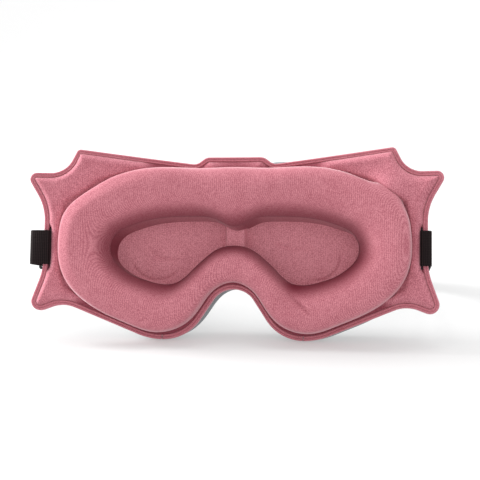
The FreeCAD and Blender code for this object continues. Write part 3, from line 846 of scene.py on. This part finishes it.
def edge_welt():
    """The bead, its section carried round the mask's edge."""
    rows = []
    for inset, depth in WELT_SECTION:
        outline = mask_edge(inset)
        rows.append(np.column_stack([outline, np.full(len(outline), depth)]))
    local = np.stack(rows)
    uvs = (local[..., :2] + local[..., 2:]).reshape(-1, 2)
    return finished_mesh("edge_welt_bead", placed(local).reshape(-1, 3),
                         grid_faces(len(rows), len(outline), closed_rows=True), uvs, WELT_CLOTH)


welt = edge_welt()
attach(welt, "mask")
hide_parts("edge_welt")

# ---------------------------------------------------------------- eye cups

EYE_DEPTH = 10.5
CUP_TOP = -1.5
BRIDGE_FACE = 5.0
BRIDGE_HALF = 5.2
BRIDGE_SLOPE = 1.3
# Each wall leans in by the least taper, and by more where it faces away from this side.
TAPER_LEAST = 0.1
TAPER_MORE = 2.2
TAPER_SIDE = np.array([-0.7, 0.7])
FLOOR_ROUND = 0.35
FLOOR_SPACING = 0.8
WALL_ROWS = 8
WALL_OUT = 0.1
CORNER_ANGLES = (22, 45, 67, 90)
# Painted shade on the cup walls, and more on the left wall of each eye, which faces away from the
# light.
WALL_SHADE = 0.5
LEFT_WALL_SHADE = 0.4
# Soft folds pressed into each floor: centre, radius, start and end angle of an arc.
FLOOR_FOLDS = [
    ((-47, 52), 17.0, 195, 330), ((-40, 62), 15.0, 215, 300),
    ((47, 50), 15.0, 250, 380), ((36, 78), 24.0, 235, 300),
]
FOLD_DEEP = 0.9
FOLD_WIDE = 0.9
FOLD_ENDS = 0.35
FLEECE_TURN = 0.8


def floor_depth(u, v):
    """The pan's floor, with the low bridge over the nose and a few shallow folds."""
    bridge = eased((BRIDGE_HALF + BRIDGE_SLOPE - np.abs(u)) / BRIDGE_SLOPE)
    depth = EYE_DEPTH + (BRIDGE_FACE - EYE_DEPTH) * bridge
    for centre, radius, start, end in FLOOR_FOLDS:
        du, dv = u - centre[0], v - centre[1]
        angle = np.degrees(np.arctan2(dv, du)) % 360
        middle, half = (start + end) / 2, (end - start) / 2
        away = np.abs((angle - middle + 180) % 360 - 180)
        fade = eased((half - away) / (FOLD_ENDS * half))
        depth = depth + FOLD_DEEP * fade * np.exp(-((np.hypot(du, dv) - radius) / FOLD_WIDE) ** 2)
    return depth


def eye_cups():
    """Both pans in one piece: tapered walls with painted shade, a rounded corner and the floor."""
    rows = []
    bottom = floor_depth(eye[:, 0], eye[:, 1])
    outwards = eye - inset_outline(eye, 1.0)
    taper = (TAPER_LEAST + TAPER_MORE * np.clip(outwards @ TAPER_SIDE, 0, 1))[:, None]
    for share in np.linspace(0, 1, WALL_ROWS):
        outline = inset_outline(eye, taper * share - WALL_OUT)
        rows.append(np.column_stack([outline, CUP_TOP + (bottom - FLOOR_ROUND - CUP_TOP) * share]))
    for angle in CORNER_ANGLES:
        swing = math.radians(angle)
        outline = inset_outline(eye, taper - WALL_OUT + FLOOR_ROUND * (1 - math.cos(swing)))
        rows.append(np.column_stack([outline, bottom - FLOOR_ROUND * (1 - math.sin(swing))]))
    walls = np.stack(rows)
    columns = len(eye)
    flat, triangles = filled(walls[-1, :, :2], FLOOR_SPACING)
    floor = np.column_stack([flat, floor_depth(flat[:, 0], flat[:, 1])])
    local = np.concatenate([walls[:-1].reshape(-1, 3), floor])
    first = (len(rows) - 1) * columns
    faces = grid_faces(len(rows), columns, flip=True)
    faces += [[first + c for c in face] for face in triangles]
    uvs = local[:, :2] + FLEECE_TURN * local[:, 2:]
    piece = finished_mesh("eye_cups", placed(local), faces, uvs, EYE_FLEECE, inwards=True)
    # Painted shade on the wall rows; none on the floor.
    wall = WALL_SHADE + LEFT_WALL_SHADE * np.clip(-outwards[:, 0], 0, 1)
    painted_shade = np.zeros(len(local))
    painted_shade[:(WALL_ROWS + 1) * columns] = np.tile(wall, WALL_ROWS + 1)
    piece.data.attributes.new(SHADE_ATTRIBUTE, "FLOAT", "POINT").data.foreach_set("value", painted_shade)
    return piece


cups = eye_cups()
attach(cups, "mask")
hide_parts("eye_cup_liner")

# ---------------------------------------------------------------- outer side

DOME_OVERHANG = 3.3
# It stands a little to the right.
DOME_ASIDE = 1.5
# It bulges out round the nose arch and on the right of the brow tab, and draws in on the tab's
# left: where, by how much and over what reach.
DOME_BULGES = [((0.0, 33.0), 0.3, 26.0), ((24.5, 99.7), 2.2, 9.0), ((-24.5, 99.7), -0.8, 9.0)]
FLANGE_BACK = 2.05
# The dome's side: share of the way in from its foot to the eye edge, and depth.
DOME_SIDE = [
    (0.14, 1.85), (0.08, 2.05), (0.03, 2.75), (0.004, 4.2), (0.02, 6.4), (0.07, 8.9),
    (0.145, 11.3), (0.24, 13.3), (0.35, 14.9), (0.47, 15.9), (0.6, 16.5), (0.72, 16.75),
]
DOME_PARTS = 2
CAP_SPACING = 2.0
CAP_RISE = 0.4
CAP_REACH = 9.0
FLANGE_ROWS = 8
FLANGE_INSET = 1.7
FLANGE_LOW = 1.2
FLANGE_REACH = 1.0
OUTER_TURN = 0.7


def outer_cover():
    """The grey outer side: the flat flange and the dome with its cap."""
    edge = mask_edge(FLANGE_INSET)
    target = matched(edge, inset_outline(foot, FLANGE_REACH - DOME_OVERHANG))
    rows = [np.column_stack([edge, np.full(len(edge), FLANGE_LOW)])]
    for share in np.linspace(0, 1, FLANGE_ROWS):
        rows.append(np.column_stack([edge + (target - edge) * share,
                                     np.full(len(edge), FLANGE_BACK)]))
    flange = np.stack(rows)
    faces = grid_faces(len(rows), len(edge), flip=True)
    extra = sum(amount * np.exp(-(np.linalg.norm(foot - place, axis=1) / reach) ** 2)
                for place, amount, reach in DOME_BULGES)
    dome_foot = inset_outline(foot, -DOME_OVERHANG - extra[:, None]) + np.array([DOME_ASIDE, 0])
    side = spline(DOME_SIDE, [DOME_PARTS] * (len(DOME_SIDE) - 1))
    dome = np.stack([np.column_stack([dome_foot + (eye - dome_foot) * share,
                                      np.full(len(foot), depth)]) for share, depth in side])
    first = flange.shape[0] * flange.shape[1]
    columns = len(foot)
    faces += grid_faces(len(dome), columns, first=first, flip=True)
    rim = dome[-1, :, :2]
    flat, triangles = filled(rim, CAP_SPACING)
    rise = CAP_RISE * (1 - np.exp(-distance_to(flat, rim) / CAP_REACH))
    cap = np.column_stack([flat, dome[-1, 0, 2] + rise])
    first += (len(dome) - 1) * columns
    faces += [[first + c for c in face[::-1]] for face in triangles]
    local = np.concatenate([flange.reshape(-1, 3), dome[:-1].reshape(-1, 3), cap])
    uvs = local[:, :2] + OUTER_TURN * local[:, 2:]
    return finished_mesh("outer_cover", placed(local), faces, uvs, OUTER_CLOTH)


cover = outer_cover()
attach(cover, "mask")
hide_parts("front_cover", "front_foam")

# ---------------------------------------------------------------- strap

STRAP_HALF = 10.0
STRAP_THICK = 1.0
FOLD_THICK = 0.9
# The strap in plan: points (u, w) and the radius that turns each one, from the slider's slot
# side, over the left bar, round the head, over the right bar and back to its sewn lap.
STRAP_PATH = [
    (-114, 2, 0), (-114, -1, 2.5), (-107.4, -5.28, 1.6), (-107.4, -12.38, 1.2),
    (-119.6, -12.38, 2.6), (-117.2, 2, 20), (-117.2, 102, 50), (-62, 130, 120), (58, 130, 120),
    (113, 102, 50), (113, -12.38, 1.6), (107.4, -12.38, 1.2), (107.4, -5.28, 1.6),
    (112, 1, 2.5), (112, 24, 0),
]
# The strap's free end: from the left slot to the slider and folded round its middle bar.
END_PATH = [(-114, 2, 0), (-114, 15.05, 0.9), (-116, 15.05, 0.9), (-116, 10.7, 0)]
LONG_STEP = 3.0
ARC_PARTS = 4
EDGE_ANGLES = (0, 30, 60, 90, 120, 150, 180)


def rounded_path(corners):
    """An open path of straight runs joined by arcs."""
    points = np.array([corner[:2] for corner in corners], float)
    path = [points[:1]]
    for i in range(1, len(points) - 1):
        before = points[i] - points[i - 1]
        after = points[i + 1] - points[i]
        before, after = before / np.linalg.norm(before), after / np.linalg.norm(after)
        turn = math.atan2(before[0] * after[1] - before[1] * after[0], before @ after)
        sign = 1 if turn > 0 else -1
        radius = corners[i][2]
        centre = points[i] - before * radius * math.tan(abs(turn) / 2)
        centre = centre + side_of(before) * sign * radius
        start = math.atan2(*(-side_of(before) * sign)[::-1])
        parts = max(ARC_PARTS, math.ceil(abs(turn) * radius / LONG_STEP))
        angles = start + turn * np.linspace(0, 1, parts + 1)
        arc = centre + radius * np.stack([np.cos(angles), np.sin(angles)], axis=1)
        gap = np.linalg.norm(arc[0] - path[-1][-1])
        path.append(np.linspace(path[-1][-1], arc[0], max(2, math.ceil(gap / LONG_STEP)))[1:-1])
        path.append(arc)
    gap = np.linalg.norm(points[-1] - path[-1][-1])
    path.append(np.linspace(path[-1][-1], points[-1], max(2, math.ceil(gap / LONG_STEP)))[1:])
    return np.concatenate(path)


def ribbon(name, corners, thick, material):
    """A flat woven strip with soft edges, standing on edge along a path in plan."""
    path = rounded_path(corners)
    along = np.gradient(path, axis=0)
    along /= np.linalg.norm(along, axis=1)[:, None]
    normal = np.stack([-along[:, 1], along[:, 0]], axis=1)
    steps = np.linalg.norm(np.diff(path, axis=0), axis=1)
    reach = np.concatenate([[0], np.cumsum(steps)])
    half = thick / 2
    half_round = [(math.cos(math.radians(a)), math.sin(math.radians(a))) for a in EDGE_ANGLES]
    straight_half = STRAP_HALF - half
    section = [(half * x, straight_half + half * y) for x, y in half_round]
    section += [(-half * x, -straight_half - half * y) for x, y in half_round]
    rows = []
    uvs = []
    for across, up in section:
        spot = path + normal * across
        rows.append(np.column_stack([spot[:, 0], np.full(len(path), SLOT_UP + up), spot[:, 1]]))
        uvs.append(np.column_stack([reach, np.full(len(path), up)]))
    local = np.stack(rows)
    columns = len(path)
    faces = grid_faces(len(rows), columns, closed_rows=True, closed_columns=False, flip=True)
    faces.append([r * columns for r in range(len(rows))])
    faces.append([r * columns + columns - 1 for r in range(len(rows))][::-1])
    return finished_mesh(name, straight(local).reshape(-1, 3), faces,
                         np.stack(uvs).reshape(-1, 2), material)


strap = ribbon("strap_elastic", STRAP_PATH, STRAP_THICK, ELASTIC)
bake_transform(strap)
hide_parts("strap_band", "strap_loop_left", "strap_loop_right")

strap_end = ribbon("strap_end", END_PATH, FOLD_THICK, ELASTIC)
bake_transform(strap_end)
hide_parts("strap_inner_run", "strap_folded_end")

# ---------------------------------------------------------------- stitches on the strap

THREAD_RADIUS = 0.17
STITCH_HALF = 8.0
STITCHES = 22
ZIGZAG = 0.75
THREAD_SIDES = 6


def bar_tack(name, u, places, body, node):
    """Tight zigzag stitches across the strap, sunk a little into it."""
    positions = []
    faces = []
    for place in places:
        turns = np.arange(STITCHES + 1)
        line = np.column_stack([
            np.full(len(turns), u),
            SLOT_UP - STITCH_HALF + turns * 2 * STITCH_HALF / STITCHES,
            place + ZIGZAG * (1 - 2 * (turns % 2))])
        angles = np.linspace(0, 2 * math.pi, THREAD_SIDES, endpoint=False)
        rows = [line + THREAD_RADIUS * np.array([math.cos(a), 0, math.sin(a)]) for a in angles]
        first = sum(len(p) for p in positions)
        faces += grid_faces(THREAD_SIDES, len(line), closed_rows=True, closed_columns=False,
                            first=first)
        positions.append(np.concatenate(rows))
    local = np.concatenate(positions)
    piece = finished_mesh(name, straight(local), faces, local[:, 1:], THREAD)
    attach(piece, body)
    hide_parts(node)


LAP_OUT = 111.4
LAP_PLACES = (7.0, 20.0)
FOLD_OUT = -113.5
FOLD_PLACES = (7.5,)

bar_tack("lap_stitches", LAP_OUT, LAP_PLACES, "strap", "bar_tack_right")
bar_tack("fold_stitches", FOLD_OUT, FOLD_PLACES, "adjuster", "bar_tack_left")

# ---------------------------------------------------------------- CAD pieces that stay as they are

for node, material in (("slider", SLIDER_PLASTIC), ("core_sheet", CORE_FOAM)):
    kept = frame["nodes"][node]
    kept.data.materials.clear()
    kept.data.materials.append(material)

# ---------------------------------------------------------------- floor, light and camera


# In metres: half the floor's width, how far back it starts to curve up, that curve's radius, and
# the wall's height.
STAGE_HALF = 12.0
STAGE_BACK = 1.6
STAGE_TURN = 0.8
STAGE_TOP = 3.0
STAGE_PARTS = 24
PAPER_ROUGH = 0.9
PAPER_SHADE = 0.4
PAPER_NEAR = 0.35
PAPER_FAR = 0.55


def paper(name, shade, near_glow, far_glow):
    """White paper, lit a little less from within where the mask's shadow falls."""
    material, nodes, links, surface = shader(name, PAPER_ROUGH)
    surface.inputs["Base Color"].default_value = (shade, shade, shade, 1)
    surface.inputs["Emission Color"].default_value = (1, 1, 1, 1)
    place = nodes.new("ShaderNodeTexCoord")
    nearness = nodes.new("ShaderNodeTexGradient")
    nearness.gradient_type = "SPHERICAL"
    links.new(place.outputs["Object"], nearness.inputs["Vector"])
    glow = nodes.new("ShaderNodeMapRange")
    links.new(nearness.outputs["Fac"], glow.inputs["Value"])
    glow.inputs["To Min"].default_value = far_glow
    glow.inputs["To Max"].default_value = near_glow
    links.new(glow.outputs["Result"], surface.inputs["Emission Strength"])
    return material


def backdrop():
    """A pale floor that curves up into a wall behind."""
    profile = [(-STAGE_HALF, 0.0)]
    for angle in np.radians(np.linspace(0, 90, STAGE_PARTS)):
        profile.append((STAGE_BACK + STAGE_TURN * math.sin(angle),
                        STAGE_TURN * (1 - math.cos(angle))))
    profile.append((STAGE_BACK + STAGE_TURN, STAGE_TOP))
    verts = [(x, y, z) for x in (-STAGE_HALF, STAGE_HALF) for y, z in profile]
    count = len(profile)
    mesh = bpy.data.meshes.new("backdrop")
    mesh.from_pydata(verts, [], [(i, i + count, i + count + 1, i + 1) for i in range(count - 1)])
    mesh.polygons.foreach_set("use_smooth", [True] * len(mesh.polygons))
    mesh.materials.append(paper("studio_paper", PAPER_SHADE, PAPER_NEAR, PAPER_FAR))
    piece = bpy.data.objects.new("backdrop", mesh)
    bpy.context.scene.collection.objects.link(piece)


backdrop()


def softbox(name, azimuth, elevation, distance, size, power, aim):
    """A square area light, placed round the mask by angle."""
    light = bpy.data.lights.new(name, "AREA")
    light.shape = "SQUARE"
    light.size = size
    light.energy = power
    lamp = bpy.data.objects.new(name, light)
    bpy.context.scene.collection.objects.link(lamp)
    a, e = math.radians(azimuth), math.radians(elevation)
    back = Vector((math.sin(a) * math.cos(e), -math.cos(a) * math.cos(e), math.sin(e)))
    lamp.location = aim + back * distance
    lamp.rotation_euler = (-back).to_track_quat("-Z", "Y").to_euler()


# How far up the mask's middle line the lights and the camera aim, and at which depth.
LIGHTS_HEIGHT = 52.0
CAMERA_HEIGHT = 55.0
AIM_DEPTH = -5.0
# Each light: azimuth, elevation, distance and size in metres, and power in watts.
LIGHTS = {
    "key": (20, 36, 1.3, 0.8, 0.6),
    "rim": (-99, 22, 1.2, 0.3, 19),
    "top": (178, 76, 1.5, 0.8, 8.5),
}
mask_middle = Vector(placed(np.array([0.0, LIGHTS_HEIGHT, AIM_DEPTH])))
for light_name, (azimuth, elevation, distance, size, power) in LIGHTS.items():
    softbox(light_name, azimuth, elevation, distance, size, power, mask_middle)

world = bpy.data.worlds.new("studio")
world.use_nodes = True
world.node_tree.nodes["Background"].inputs["Color"].default_value = (1, 1, 1, 1)
world.node_tree.nodes["Background"].inputs["Strength"].default_value = 1.0
bpy.context.scene.world = world
bpy.context.scene.view_settings.view_transform = "Standard"

CAMERA_AZIMUTH = 7.5
CAMERA_ELEVATION = 13.0
CAMERA_DISTANCE = 0.68
CAMERA_LENS = 88.0
CAMERA_ROLL = -1.55
SENSOR = 36.0
# What the camera looks at: along its own right and up from the mask's middle, in millimetres.
AIM_RIGHT = 4.0
AIM_UP = 2.75

camera = bpy.data.objects.new("camera", bpy.data.cameras.new("camera"))
bpy.context.scene.collection.objects.link(camera)
camera.data.lens = CAMERA_LENS
camera.data.sensor_width = SENSOR
azimuth, elevation = math.radians(CAMERA_AZIMUTH), math.radians(CAMERA_ELEVATION)
back = Vector((math.sin(azimuth) * math.cos(elevation), -math.cos(azimuth) * math.cos(elevation),
               math.sin(elevation)))
look = (-back).to_track_quat("-Z", "Y")
aim = (Vector(placed(np.array([0.0, CAMERA_HEIGHT, AIM_DEPTH])))
       + look @ Vector((AIM_RIGHT * MM, AIM_UP * MM, 0)))
camera.location = aim + back * CAMERA_DISTANCE
camera.rotation_euler = (look @ Quaternion((0, 0, 1), math.radians(CAMERA_ROLL))).to_euler()
bpy.context.scene.camera = camera
